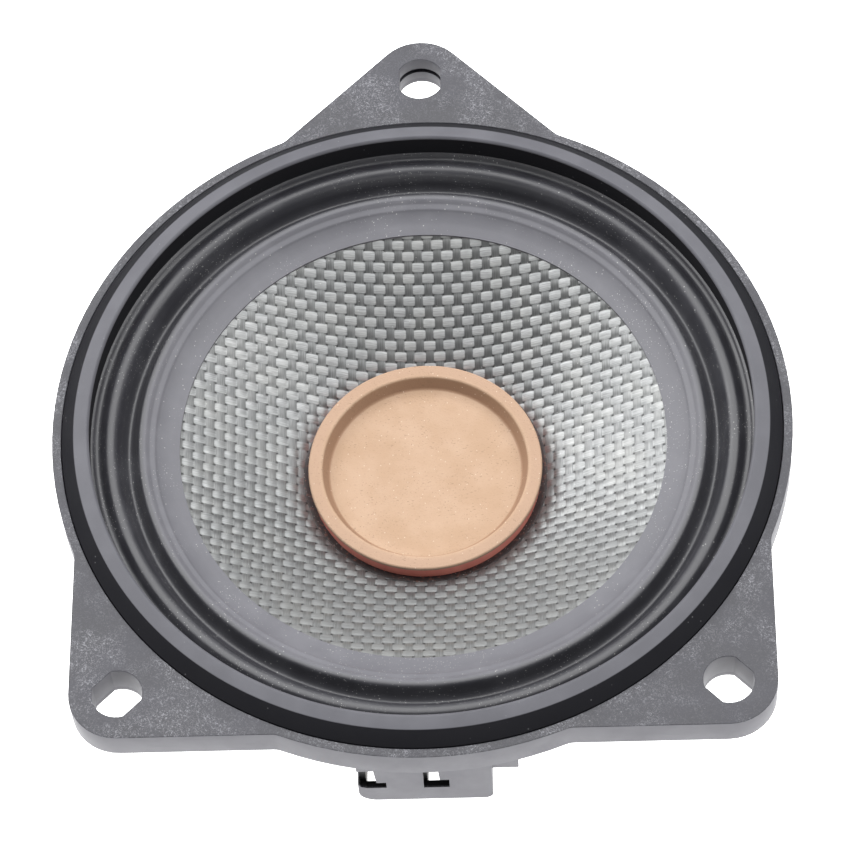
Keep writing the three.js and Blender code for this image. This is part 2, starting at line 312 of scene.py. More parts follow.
class Paint:
    """A material on one Principled shader, with short calls for the nodes that drive it."""

    def __init__(self, name, **sockets):
        self.material = bpy.data.materials.new(name)
        self.material.use_nodes = True
        self.nodes = self.material.node_tree.nodes
        self.links = self.material.node_tree.links
        self.shader = self.nodes["Principled BSDF"]
        self.place = self.nodes.new("ShaderNodeTexCoord").outputs["Object"]
        for socket, value in sockets.items():
            self.shader.inputs[socket.replace("_", " ")].default_value = value

    def put(self, socket, value):
        """Links a node's output to a socket, or sets a plain value; a colour may lack its alpha."""
        if isinstance(value, bpy.types.NodeSocket):
            self.links.new(value, socket)
        elif value is not None:
            if isinstance(value, tuple) and len(value) == 3 and socket.type == "RGBA":
                value = (*value, 1)
            socket.default_value = value

    def set(self, socket, value):
        self.put(self.shader.inputs[socket], value)

    def cells(self, size, stretch, shift=(0, 0, 0)):
        """Object coordinates in cells of size millimetres, multiplied by stretch on each axis."""
        node = self.nodes.new("ShaderNodeMapping")
        self.links.new(self.place, node.inputs["Vector"])
        node.inputs["Scale"].default_value = [s / (size * MM) for s in stretch]
        node.inputs["Location"].default_value = shift
        return node.outputs["Vector"]

    def noise(self, size, detail=3, rough=0.55, stretch=(1, 1, 1), twist=0):
        """Soft noise from 0 to 1, its coarsest spots about size millimetres wide."""
        node = self.nodes.new("ShaderNodeTexNoise")
        node.inputs["Distortion"].default_value = twist
        node.inputs["Detail"].default_value = detail
        node.inputs["Roughness"].default_value = rough
        node.inputs["Scale"].default_value = 1
        self.links.new(self.cells(size, stretch), node.inputs["Vector"])
        return node.outputs["Fac"]

    def upward(self):
        """1 on faces that look up or down, 0 on upright ones."""
        node = self.nodes.new("ShaderNodeNewGeometry")
        parts = self.nodes.new("ShaderNodeSeparateXYZ")
        self.links.new(node.outputs["Normal"], parts.inputs[0])
        return self.ramp(self.math("ABSOLUTE", parts.outputs[2]), 0.35, 0.6)

    def specks(self, size, share, seed, stretch=(1, 1, 1)):
        """Small separate spots: 1 inside, 0 outside; share is their radius in cell units."""
        soft = 0.04
        node = self.nodes.new("ShaderNodeTexVoronoi")
        node.inputs["Scale"].default_value = 1
        shift = (seed * 3.7, seed * 1.9, seed * 2.3)
        self.links.new(self.cells(size, stretch, shift), node.inputs["Vector"])
        return self.ramp(node.outputs["Distance"], share + soft, share)

    def math(self, operation, a, b=None, c=None):
        node = self.nodes.new("ShaderNodeMath")
        node.operation = operation
        for socket, value in zip(node.inputs, (a, b, c)):
            self.put(socket, value)
        return node.outputs[0]

    def ramp(self, value, low, high, to_low=0.0, to_high=1.0):
        """Eases from to_low to to_high as the value goes from low to high."""
        node = self.nodes.new("ShaderNodeMapRange")
        node.interpolation_type = "SMOOTHSTEP"
        for socket, number in zip(node.inputs, (value, low, high, to_low, to_high)):
            self.put(socket, number)
        return node.outputs[0]

    def mix(self, factor, a, b, kind="RGBA"):
        """From a at 0 to b at 1: colours, or numbers or vectors with the kind FLOAT or VECTOR."""
        first, result = {"FLOAT": (2, 0), "VECTOR": (4, 1), "RGBA": (6, 2)}[kind]
        node = self.nodes.new("ShaderNodeMix")
        node.data_type = kind
        self.put(node.inputs["Factor"], factor)
        self.put(node.inputs[first], a)
        self.put(node.inputs[first + 1], b)
        return node.outputs[result]

    def bump(self, height, distance, strength, normal=None):
        """Relief of distance millimetres, on top of an earlier relief if normal is given."""
        node = self.nodes.new("ShaderNodeBump")
        node.inputs["Distance"].default_value = distance * MM
        node.inputs["Strength"].default_value = strength
        self.put(node.inputs["Height"], height)
        if normal:
            self.put(node.inputs["Normal"], normal)
        self.set("Normal", node.outputs["Normal"])
        return node.outputs["Normal"]

    def axes(self):
        """The X, Y and Z of the surface, in metres."""
        node = self.nodes.new("ShaderNodeSeparateXYZ")
        self.links.new(self.place, node.inputs[0])
        return node.outputs

    def within(self, low, high):
        """1 inside the box with these corners in millimetres, 0 outside."""
        soft = 0.1
        inside = 1.0
        for place, least, most in zip(self.axes(), low, high):
            past = self.ramp(place, (least - soft) * MM, (least + soft) * MM)
            short = self.ramp(place, (most + soft) * MM, (most - soft) * MM)
            inside = self.math("MULTIPLY", inside, self.math("MULTIPLY", past, short))
        return inside

    def radius(self):
        """The surface's distance from the Z axis, in metres."""
        x, y, _ = self.axes()
        return self.math("SQRT", self.math("ADD", self.math("MULTIPLY", x, x),
                                           self.math("MULTIPLY", y, y)))


def socket_hollow():
    """The low and high corners of the space behind the socket's front face, in millimetres."""
    low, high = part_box("connector_housing")
    skin, front_skin = 0.15, 0.25
    return ((low.x / MM + skin, SOCKET_FRONT + front_skin, low.z / MM + skin),
            (SOCKET_RIGHT - skin, high.y / MM - skin, high.z / MM - skin))


def flange_plastic(hollow=False):
    """Glass-filled plastic: pale fibres curl in the matt faces, and the moulded sides are smooth,
    painted paler than the faces as painted light.

    With hollow set, what lies behind the socket's front wall is as dark as unlit plastic is.
    """
    p = Paint("socket_plastic" if hollow else "flange_plastic", Specular_IOR_Level=0.35)
    clouds = p.noise(9, 4)
    flat = p.upward()
    base = p.mix(p.ramp(clouds, 0.35, 0.7), (0.021, 0.021, 0.026), (0.03, 0.03, 0.037))
    curls = p.ramp(p.noise(0.5, 3, 0.62, twist=2.2), 0.53, 0.62)
    fine = p.ramp(p.noise(0.22, 2, 0.5, twist=1.6), 0.55, 0.66)
    pale = p.math("MAXIMUM", curls, p.math("MULTIPLY", fine, 0.6))
    pale = p.math("MULTIPLY", pale, p.ramp(p.noise(7, 3), 0.4, 0.6, 0.15, 0.8))
    dust = p.math("MULTIPLY", p.specks(1.1, 0.09, 1), p.ramp(p.noise(4, 2), 0.52, 0.66, 0, 0.6))
    base = p.mix(p.math("MAXIMUM", pale, dust), base, (0.15, 0.15, 0.165))
    # Painted light: upright faces get a colour about four times paler than the flat faces.
    side = p.mix(p.ramp(p.noise(3, 3), 0.3, 0.7), (0.098, 0.097, 0.11), (0.112, 0.111, 0.125))
    base = p.mix(flat, side, base)
    if hollow:
        # Painted shade: the space behind the socket's front wall is painted nearly black.
        base = p.mix(p.within(*socket_hollow()), base, (0.006, 0.006, 0.007))
    p.set("Base Color", base)
    p.set("Roughness", p.ramp(clouds, 0.3, 0.7, 0.46, 0.56))
    relief = p.bump(p.math("MULTIPLY", curls, flat), 0.02, 0.4)
    p.bump(p.noise(1.6, 3), 0.05, 0.2, relief)
    return p.material


def ring_plastic():
    """Satin black plastic with faint turned lines, painted paler along its flat top as painted
    light.
    """
    p = Paint("ring_plastic", Specular_IOR_Level=0.15)
    radius = p.radius()
    turning = 0.12
    rings = p.nodes.new("ShaderNodeTexNoise")
    rings.noise_dimensions = "1D"
    rings.inputs["Scale"].default_value = 1 / (turning * MM)
    rings.inputs["Detail"].default_value = 2
    p.put(rings.inputs["W"], radius)
    smear = p.noise(7, 4)
    dots = p.math("MULTIPLY", p.specks(1.1, 0.07, 3), p.ramp(p.noise(5, 2), 0.5, 0.62))
    crown_edge, crown_foot = 47.9, FACE + 1.6
    crown = p.math("MULTIPLY", p.ramp(p.axes()[2], crown_foot * MM, (crown_foot + 0.25) * MM),
                   p.ramp(radius, crown_edge * MM, (crown_edge - 0.15) * MM))
    # Painted light: the flat top is painted about ten times paler than the black sloping sides.
    painted_top_light = p.mix(p.ramp(smear, 0.35, 0.7), (0.064, 0.064, 0.073), (0.077, 0.077, 0.087))
    base = p.mix(crown, (0.007, 0.007, 0.009), painted_top_light)
    p.set("Base Color", p.mix(p.math("MULTIPLY", dots, 0.4), base, (0.16, 0.16, 0.165)))
    gloss = p.ramp(smear, 0.3, 0.7, 0.36, 0.46)
    p.set("Roughness", p.math("MULTIPLY_ADD", p.math("SUBTRACT", 1, crown), 0.5, gloss))
    p.bump(rings.outputs["Fac"], 0.004, 0.35)
    return p.material


def surround_rubber():
    """Dull rubber with a fine skin, its glued land painted paler as painted light, and dust that
    gathers in places.
    """
    land_edge = 39.2
    p = Paint("surround_rubber")
    patches = p.noise(6, 4)
    dots = p.math("MULTIPLY", p.specks(0.8, 0.085, 4), p.ramp(patches, 0.42, 0.58))
    roll = p.mix(p.ramp(patches, 0.4, 0.75), (0.018, 0.018, 0.022), (0.028, 0.028, 0.033))
    # Painted light: the land is painted about three times paler than the roll.
    land = p.mix(p.ramp(patches, 0.4, 0.75), (0.07, 0.0695, 0.08), (0.087, 0.0865, 0.098))
    on_land = p.ramp(p.radius(), land_edge * MM, (land_edge - 1) * MM)
    base = p.mix(on_land, roll, land)
    powder = p.math("MULTIPLY", p.specks(0.4, 0.13, 11), p.ramp(p.noise(9, 3), 0.45, 0.62))
    dust = p.math("MAXIMUM", p.math("MULTIPLY", dots, 0.7), p.math("MULTIPLY", powder, 0.55))
    p.set("Base Color", p.mix(dust, base, (0.3, 0.3, 0.29)))
    p.set("Roughness", p.math("MULTIPLY_ADD", on_land, 0.14, p.ramp(patches, 0.3, 0.75, 0.4, 0.5)))
    p.bump(p.noise(0.35, 3), 0.02, 0.4)
    return p.material


def weave(p, pitch, crimp, half_width):
    """Heights of the two yarn families of a plain weave: (weft along X, warp along Y).

    The pitch is in millimetres, and half_width, half a yarn's, is a share of it. The crimp is how
    far the yarns rise and dip where they cross, as a share of their own height.
    """
    fullness = 3.2
    x, y, _ = p.axes()
    u = p.math("DIVIDE", x, pitch * MM)
    v = p.math("DIVIDE", y, pitch * MM)
    cells = p.math("ADD", p.math("FLOOR", u), p.math("FLOOR", v))
    over = p.math("SUBTRACT", 1, p.math("MULTIPLY", 2, p.math("FLOORED_MODULO", cells, 2)))
    s = p.math("SUBTRACT", p.math("FRACT", u), 0.5)
    t = p.math("SUBTRACT", p.math("FRACT", v), 0.5)

    def dome(side):
        across = p.math("ABSOLUTE", p.math("DIVIDE", side, half_width))
        fall = p.math("POWER", across, fullness)
        return p.math("SQRT", p.math("MAXIMUM", p.math("SUBTRACT", 1, fall), 0))

    def wave(along, sign):
        return p.math("MULTIPLY", p.math("MULTIPLY", over, sign),
                      p.math("COSINE", p.math("MULTIPLY", along, pi)))

    weft = p.math("MULTIPLY_ADD", wave(s, 1), crimp, dome(t))
    warp = p.math("MULTIPLY_ADD", wave(t, -1), crimp, dome(s))
    return weft, warp


def woven_cloth():
    """Resin-coated grey yarns that shine across their fibres, the warp painted darker as painted
    shade.

    On the near side that painted shade eases on the warp and moves to the weft, evening the two
    yarn families out.
    """
    fibre_length, fibre_width = 2.4, 0.1
    warp_painted_shade, weft_painted_shade = 0.46, 0.36
    p = Paint("woven_cone", Metallic=0.8, Anisotropic=0.74)
    weft, warp = weave(p, YARN_PITCH, YARN_CRIMP, 0.46)
    on_weft = p.math("GREATER_THAN", weft, warp)
    top = p.math("MAXIMUM", weft, warp)
    # A stretch of MM along Z makes the fibres the same at every height.
    along_x = p.noise(1, 2, stretch=(1 / fibre_length, 1 / fibre_width, MM))
    along_y = p.noise(1, 2, stretch=(1 / fibre_width, 1 / fibre_length, MM))
    fibres = p.mix(on_weft, along_y, along_x, "FLOAT")
    yarn = p.mix(p.ramp(fibres, 0.3, 0.75), (0.18, 0.186, 0.187), (0.285, 0.291, 0.292))
    yarn = p.mix(p.ramp(p.noise(5, 3), 0.4, 0.7, 0, 0.2), yarn, (0.34, 0.34, 0.32))
    x, y, _ = p.axes()
    # Painted shade: the warp is painted darker; towards the near side (-Y) that shade eases on the
    # warp and the weft is painted darker instead.
    nearness = p.math("MULTIPLY_ADD", y, -0.9, p.math("MULTIPLY", x, 0.15))
    near_side_painted_shade = p.ramp(nearness, 0, 20 * MM, 0, 0.75)
    dim_warp = p.math("MULTIPLY", p.math("SUBTRACT", 1, on_weft),
                      p.math("MULTIPLY_ADD", near_side_painted_shade, -warp_painted_shade, warp_painted_shade))
    dim_weft = p.math("MULTIPLY", on_weft, p.math("MULTIPLY", near_side_painted_shade, weft_painted_shade))
    yarn = p.mix(p.math("ADD", dim_warp, dim_weft), yarn, (0.0, 0.0, 0.0))
    # Painted shade: the low gaps between the yarns are painted nearly black.
    gap = p.ramp(top, 0.95, 0.35)
    colour = p.mix(p.math("MULTIPLY", gap, 0.85), yarn, (0.02, 0.02, 0.021))
    dots = p.math("MULTIPLY", p.specks(1.2, 0.05, 5), 0.35)
    p.set("Base Color", p.mix(dots, colour, (0.45, 0.45, 0.43)))
    p.set("Roughness", p.ramp(fibres, 0.3, 0.7, 0.5, 0.42))
    # The tangent lies across the fibres: X on the warp, Y on the weft.
    p.set("Tangent", p.mix(on_weft, (1, 0, 0), (0, 1, 0), "VECTOR"))
    relief = p.bump(top, 0.1, 0.5)
    p.bump(fibres, 0.03, 0.5, relief)
    return p.material


def cap_paper():
    """Pressed tan fibre with dark specks and hairs, pale dust, a pinker rim and a step wall painted
    darker brown as painted shade.
    """
    rim_edge, wall_foot = 14.3, 13.3
    p = Paint("tan_paper", Roughness=0.75, Specular_IOR_Level=0.35)
    radius = p.radius()
    mottle = p.noise(6, 5, 0.6)
    base = p.mix(p.ramp(mottle, 0.3, 0.75), (0.278, 0.183, 0.117), (0.318, 0.219, 0.15))
    rim = p.ramp(radius, rim_edge * MM, (rim_edge + 0.9) * MM)
    wall = p.math("MULTIPLY", p.ramp(radius, wall_foot * MM, (wall_foot + 0.3) * MM),
                  p.ramp(radius, (rim_edge + 0.2) * MM, rim_edge * MM))
    base = p.mix(p.math("MULTIPLY", rim, 0.8), base, (0.27, 0.178, 0.122))
    # Painted shade: the step wall between rim and floor is painted darker brown.
    base = p.mix(p.math("MULTIPLY", wall, 0.85), base, (0.2, 0.112, 0.066))
    dark = p.math("MAXIMUM", p.specks(0.55, 0.14, 6), p.specks(1.3, 0.12, 7, (1, 2.4, 1)))
    hairs = p.ramp(p.noise(0.5, 2, 0.5, stretch=(1, 2.2, 1), twist=2.0), 0.6, 0.68)
    dark = p.math("MAXIMUM", dark, p.math("MULTIPLY", hairs, 0.7))
    dark = p.math("MULTIPLY", dark, p.ramp(p.noise(4, 3), 0.4, 0.6, 0.35, 1.0))
    base = p.mix(p.math("MULTIPLY", dark, 0.42), base, (0.13, 0.08, 0.05))
    pale = p.math("MULTIPLY", p.specks(0.9, 0.07, 8), 0.5)
    p.set("Base Color", p.mix(pale, base, (0.5, 0.42, 0.34)))
    p.bump(p.noise(0.25, 3), 0.05, 0.8)
    return p.material


def former_film():
    """Glossy red-brown film, a little wavy."""
    p = Paint("red_film", Specular_IOR_Level=0.9)
    tone = p.noise(3, 3, stretch=(1, 1, 0.3))
    p.set("Base Color", p.mix(tone, (0.55, 0.155, 0.12), (0.72, 0.26, 0.205)))
    p.set("Roughness", p.ramp(p.noise(1.5, 2), 0.3, 0.7, 0.1, 0.24))
    p.bump(p.noise(0.8, 2, stretch=(1, 1, 0.2)), 0.03, 0.3)
    return p.material


def black_glue():
    """Dull dark glue, reddish in places, with grains of dust stuck in it."""
    p = Paint("black_glue")
    base = p.mix(p.noise(1.2, 3), (0.006, 0.005, 0.006), (0.02, 0.013, 0.012))
    base = p.mix(p.ramp(p.noise(0.5, 2), 0.56, 0.66, 0, 0.7), base, (0.09, 0.035, 0.025))
    dust = p.math("MULTIPLY", p.specks(0.5, 0.1, 9), 0.6)
    p.set("Base Color", p.mix(dust, base, (0.4, 0.38, 0.36)))
    p.set("Roughness", p.ramp(p.noise(0.8, 2), 0.3, 0.7, 0.45, 0.7))
    p.bump(p.noise(0.5, 3), 0.08, 0.6)
    return p.material


def copper_wire():
    """Turns of enamelled wire, side by side."""
    wire = 0.22
    p = Paint("copper_wire", Metallic=0.9, Roughness=0.3)
    turns = p.math("SINE", p.math("MULTIPLY", p.axes()[2], 2 * pi / (wire * MM)))
    # Painted shade: the grooves between the turns are painted dark.
    p.set("Base Color", p.mix(p.ramp(turns, -1, 0), (0.12, 0.035, 0.015), (0.62, 0.25, 0.11)))
    p.bump(turns, 0.06, 0.8)
    return p.material


def spider_cloth():
    """Open cotton weave stiffened with yellow-brown resin."""
    p = Paint("spider_cloth", Roughness=0.85)
    weft, warp = weave(p, 0.62, 0.4, 0.4)
    top = p.math("MAXIMUM", weft, warp)
    base = p.mix(p.noise(3, 3), (0.42, 0.27, 0.09), (0.56, 0.39, 0.16))
    # Painted shade: the low gaps between the yarns are painted dark brown.
    p.set("Base Color", p.mix(p.ramp(top, 0.9, 0.2), base, (0.12, 0.07, 0.025)))
    p.bump(top, 0.08, 0.9)
    return p.material


def plated_steel():
    """Bright zinc over rolled sheet, with faint clouding and scratches."""
    p = Paint("plated_steel", Metallic=1.0)
    clouds = p.noise(5, 4)
    p.set("Base Color", p.mix(p.ramp(clouds, 0.35, 0.7), (0.2, 0.2, 0.202), (0.27, 0.27, 0.265)))
    p.set("Roughness", p.ramp(clouds, 0.3, 0.7, 0.26, 0.42))
    p.bump(p.noise(0.2, 3, stretch=(1, 0.04, 1)), 0.012, 0.6)
    return p.material


def nickel():
    """The nickel skin of a neodymium magnet."""
    p = Paint("nickel_magnet", Metallic=1.0)
    p.set("Base Color", p.mix(p.noise(4, 3), (0.55, 0.53, 0.5), (0.66, 0.64, 0.6)))
    p.set("Roughness", p.ramp(p.noise(2, 3), 0.3, 0.7, 0.16, 0.3))
    return p.material


def black_steel():
    """Blackened screws, worn bright in places."""
    p = Paint("black_steel", Metallic=0.8)
    wear = p.ramp(p.noise(0.6, 4), 0.62, 0.72)
    p.set("Base Color", p.mix(wear, (0.02, 0.02, 0.023), (0.3, 0.3, 0.3)))
    p.set("Roughness", p.ramp(p.noise(0.5, 3), 0.3, 0.7, 0.28, 0.5))
    return p.material


def terminal_brass():
    """Tinned brass strip."""
    p = Paint("terminal_brass", Metallic=1.0)
    p.set("Base Color", p.mix(p.noise(1.5, 3), (0.6, 0.52, 0.36), (0.72, 0.68, 0.58)))
    p.set("Roughness", p.ramp(p.noise(0.8, 3), 0.3, 0.7, 0.2, 0.38))
    return p.material


def lead_braid():
    """Copper tinsel braided over a cotton core."""
    p = Paint("lead_braid", Metallic=0.5, Roughness=0.5)
    p.set("Base Color", p.mix(p.noise(0.25, 2), (0.2, 0.12, 0.06), (0.5, 0.36, 0.2)))
    p.bump(p.noise(0.2, 2), 0.05, 0.8)
    return p.material


def floor_paint():
    """A white table that glows under the speaker, so that the light comes from below too."""
    p = Paint("floor", Roughness=0.8, Emission_Color=(1, 1, 1, 1))
    p.set("Base Color", p.mix(p.noise(60, 2), (0.5, 0.5, 0.5), (0.52, 0.52, 0.52)))
    p.set("Emission Strength", p.ramp(p.radius(), 220 * MM, 110 * MM, 0.1, 1.7))
    return p.material


def dress(obj, material):
    """Gives the object this material alone."""
    obj.data.materials.clear()
    obj.data.materials.append(material)
    return obj


def piece(obj, body, material, slot, *nodes):
    """Paints a new piece, rides it on its body and hides the CAD nodes it stands for."""
    dress(obj, material)
    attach(obj, body)
    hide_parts(*nodes)
    return obj


# Pieces

def flange_outline():
    """The disc with a rounded square corner at each ear."""
    outline = []

    def arc(x, y, radius, start, end):
        step = 3 if radius > 20 else 9
        parts = max(3, ceil(abs(end - start) / radians(step)))
        for i in range(parts + 1):
            a = start + (end - start) * i / parts
            outline.append((x + radius * cos(a), y + radius * sin(a)))

    reach = FLANGE_RADIUS + EAR_FILLET
    swing = acos((EAR_SIDE + EAR_FILLET) / reach)
    corner = (EAR_SIDE - EAR_CORNER) * sqrt(2)
    start = radians(EAR_ANGLES[-1] + 45) - swing - 2 * pi
    for degrees in EAR_ANGLES:
        ear = radians(degrees)
        before, after = ear - pi / 4, ear + pi / 4
        first, last = before + swing, after - swing
        arc(0, 0, FLANGE_RADIUS, start, first)
        arc(reach * cos(first), reach * sin(first), EAR_FILLET, first + pi, before + pi)
        arc(corner * cos(ear), corner * sin(ear), EAR_CORNER, before, after)
        arc(reach * cos(last), reach * sin(last), EAR_FILLET, after + pi, last + pi)
        start = last

    # Arcs share their end points, which are kept once.
    apart = 1e-4
    clean = []
    for x, y in outline:
        if not clean or hypot(x - clean[-1][0], y - clean[-1][1]) > apart:
            clean.append((x, y))
    if hypot(clean[0][0] - clean[-1][0], clean[0][1] - clean[-1][1]) < apart:
        clean.pop()
    return clean


def slot_outline(degrees, grow=0.0):
    """A round hole with two flats that run along the ear."""
    parts = 12
    half, radius = SLOT_WIDTH / 2 + grow, SLOT_LENGTH / 2 + grow
    flat = acos(half / radius)
    turn = radians(degrees - 90)
    outline = []
    for start, end in ((flat, pi - flat), (pi + flat, 2 * pi - flat)):
        for i in range(parts + 1):
            a = start + (end - start) * i / parts
            x, y = radius * cos(a), radius * sin(a) + SLOT_RADIUS
            outline.append((x * cos(turn) - y * sin(turn), x * sin(turn) + y * cos(turn)))
    return outline


def circle(radius, parts=256):
    return [(radius * cos(2 * pi * k / parts), radius * sin(2 * pi * k / parts))
            for k in range(parts)]


def window_cutter(middle):
    """A slanted window's vertical cutter, a ring sector with rounded corners."""
    inner, outer, corner = 34.5, 44.2, 1.5
    half_angle, step = 20, 4
    low, high = 12, 30.6
    angles = range(-half_angle, half_angle + 1, step)
    corners = []
    for radius, row in ((outer, angles), (inner, angles[::-1])):
        for a in row:
            t = radians(middle + a)
            round_off = corner if abs(a) == half_angle else 0
            corners.append((radius * cos(t), radius * sin(t), round_off))
    return slab("cutter", [rounded(corners)], low, high)


def to_screw(obj, k):
    """Moves an object from the axis to the place of screw number k."""
    return spin(shift(obj, SCREW_CIRCLE), 45 + 360 / SCREWS * k)


def screw_holes(low, high):
    """Cutters for the holes of all screws, between two heights."""
    outline = [(0, low), (SCREW_HOLE, low), (SCREW_HOLE, high), (0, high)]
    return [to_screw(lathe("hole", outline, 32), k) for k in range(SCREWS)]


def make_ribs():
    """A pair of stiffening ribs along the outside of each of the bowl's six spokes."""
    aside, thick, outer = 3.4, 1.1, 48.0
    top = UNDERSIDE + 0.2
    band = lathe("spoke_ribs", [
        (30.9, 13.5), (34.2, 14.5), (outer, 28.1), (outer, top), (outer - 1.5, top),
        (outer - 1.5, 29.0), (33.2, 15.6), (30.6, 14.8),
    ], 192)
    blades = bmesh.new()
    for middle in SPOKE_ANGLES:
        for side in (-aside, aside):
            made = bmesh.ops.create_cube(blades, size=1)["verts"]
            bmesh.ops.scale(blades, verts=made, vec=(30 * MM, thick * MM, 24 * MM))
            bmesh.ops.translate(blades, verts=made, vec=(38 * MM, side * MM, 22 * MM))
            bmesh.ops.rotate(blades, verts=made, matrix=Matrix.Rotation(radians(middle), 3, "Z"))
    mesh = bpy.data.meshes.new("blades")
    blades.to_mesh(mesh)
    blades.free()
    return combine(band, [link(mesh, "blades")], "INTERSECT")


def make_bowl():
    """The motor's seat, the sloping wall with the spider's ledge, and the surround's shelf."""
    seat_bore, seat_top = CUP_RADIUS + 0.4, YOKE_TOP + 3.2
    wall, ledge = 46.9, LEDGE + 0.4
    # These two lie inside the flange, so that the solids join.
    rim, inside = RING_RECESS + 0.6, UNDERSIDE + 0.25
    return lathe("bowl", rounded([
        (seat_bore, YOKE_TOP, 0.2), (27.6, YOKE_TOP, 0.8), (30.6, 14.4, 1.5), (33.4, 15.4, 1.5),
        (wall, 28.6, 2.5), (wall, UNDERSIDE - 0.5, 0.3), (wall + 0.5, inside, 0), (rim, inside, 0),
        (rim, SHELF, 0), (ROLL_OUTER, SHELF, 0.3), (ROLL_OUTER, 29.6, 2),
        (ledge, SPIDER_FLOOR + 0.8, 0.5), (ledge, SPIDER_FLOOR, 0.1), (28.5, SPIDER_FLOOR, 0.3),
        (26.9, seat_top, 0.8), (seat_bore, seat_top, 0.3),
    ]), 192)


def make_basket():
    """The flange with its ears and bosses, the bowl and its ribs, cut for windows and socket."""
    edge, boss_edge, overlap = 0.1, 0.15, 0.1
    slots = [slot_outline(degrees) for degrees in EAR_ANGLES]
    plate = slab("basket_moulding", [flange_outline(), circle(RING_RECESS), *slots],
                 UNDERSIDE, FACE, edge)
    bosses = [slab("boss", [slot_outline(degrees, BOSS_MARGIN), slot], UNDERSIDE - BOSS_HEIGHT,
                   UNDERSIDE + edge + overlap, boss_edge)
              for degrees, slot in zip(EAR_ANGLES, slots)]
    basket = combine(plate, [make_bowl(), make_ribs(), *bosses], "UNION")
    groove = slab("groove", [slot_outline(EAR_ANGLES[0], SLOT_GROOVE)], FACE - 3.1, FACE - 2.2)
    low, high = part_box("connector_housing")
    bay_floor = 12
    bay = block("bay", (low.x / MM - GAP, -FLANGE_RADIUS, bay_floor),
                (SOCKET_RIGHT + GAP, high.y / MM + GAP, UNDERSIDE))
    windows = [window_cutter(middle) for middle in WINDOW_ANGLES]
    combine(basket, [*windows, groove, bay, *screw_holes(8.5, 12)])
    return piece(basket, CHASSIS, PAINTS["flange_plastic"], "flange_plastic", "basket")


def make_front_ring():
    """The ring that clamps the surround's lip, its outside sloping up to a narrow flat top."""
    outline = rounded([
        (45.85, LIP_TOP, 0), (49.6, LIP_TOP, 0.1), (49.6, FACE + 0.02, 0.05),
        (47.85, FACE + 1.8, 0.2), (46.0, FACE + 2.18, 0.35), (45.65, FACE + 1.9, 0.3),
    ], 8)
    return piece(lathe("trim_ring", outline, 320), CHASSIS, PAINTS["ring_plastic"],
                 "black_plastic", "front_ring")


def radial_blend(obj):
    """Bakes the object's placement into its mesh.
    """
    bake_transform(obj)


def make_surround():
    """From the cone's edge outward: the sloping land, the bead, a valley, the roll and the lip."""
    line = smooth_line([
        (CONE_EDGE - 0.25, CONE_TOP + 0.1), (34.6, 31.28), (35.4, 31.58), (36.2, 31.98),
        (36.8, 32.36), (37.1, 32.62), (37.45, 32.78), (37.8, 32.94), (38.1, 33.18),
        (38.45, 33.4), (38.95, 33.42), (39.35, 33.2), (39.7, 32.55), (40.05, 31.85),
        (40.45, 31.42), (40.9, 31.35), (41.4, 31.9), (41.85, 33.0), (42.3, 33.9), (42.9, 34.3),
        (43.6, 34.28), (44.1, 33.95), (44.5, 33.62), (44.95, 33.52), (45.3, 33.68),
        (45.55, 33.96), (45.8, 34.1),
    ], 5)
    roll_end, lip_inner, lip_outer = 44.4, 45.9, 49.3
    lip_under = SHELF + 0.02
    under = [(r, z - RUBBER) for r, z in line if r < roll_end]
    outline = [*under, (ROLL_OUTER, lip_under), (lip_outer, lip_under), (lip_outer, LIP_TOP),
               (lip_inner, LIP_TOP), *reversed(line)]
    obj = lathe("rubber_surround", outline, 320)
    dress(obj, PAINTS["surround_rubber"])
    radial_blend(obj)
    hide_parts("surround")


def weave_height(x, y):
    """The plain weave's relief at points in millimetres, 0 in the gaps to 1 on the crowns."""
    u, v = x / YARN_PITCH, y / YARN_PITCH
    over = 1 - 2 * np.mod(np.floor(u) + np.floor(v), 2)
    s, t = u - np.floor(u) - 0.5, v - np.floor(v) - 0.5

    def yarn(along, across, sign):
        dome = np.sqrt(np.clip(1 - (2 * across) ** 2, 0, 1))
        return sign * YARN_CRIMP * over * np.cos(pi * along) + dome

    return np.maximum(yarn(s, t, 1), yarn(t, s, -1)) / (1 + YARN_CRIMP)


def make_cone():
    """A conical sheet whose face carries the yarns as real relief."""
    around, rings, back_rings = 840, 88, 8
    relief, sheet, fade = 0.16, 0.45, 0.3
    inner, outer = NECK + 0.1, CONE_EDGE
    tilt = np.arctan(CONE_SLOPE)
    angle = np.arange(around) * 2 * pi / around

    def row(r, drop, lift):
        z = NECK_TOP + (r - NECK) * CONE_SLOPE + lift - drop / cos(tilt)
        return np.stack([r * np.cos(angle), r * np.sin(angle), np.broadcast_to(z, angle.shape)], 1)

    rows = []
    for r in np.linspace(inner, outer, rings):
        height = weave_height(r * np.cos(angle), r * np.sin(angle))
        edge = min(1.0, (outer - r) / fade, (r - inner) / fade)
        rows.append(row(r, 0.0, (height - 1) * relief * edge))
    for r in np.linspace(outer, inner, back_rings):
        rows.append(row(r, sheet, 0.0))
    verts = np.concatenate(rows) * MM
    index = np.arange(len(rows) * around).reshape(len(rows), around)
    after = np.roll(index, -1, axis=0)
    faces = np.stack([index, np.roll(index, -1, 1), np.roll(after, -1, 1), after], -1)
    mesh = bpy.data.meshes.new("woven_cone_sheet")
    mesh.from_pydata(verts.tolist(), [], faces.reshape(-1, 4).tolist())
    tidy_normals(mesh)
    shade(mesh, 60)
    return piece(link(mesh, "woven_cone_sheet"), DIAPHRAGM, PAINTS["woven_cone"],
                 "woven_cone", "cone")


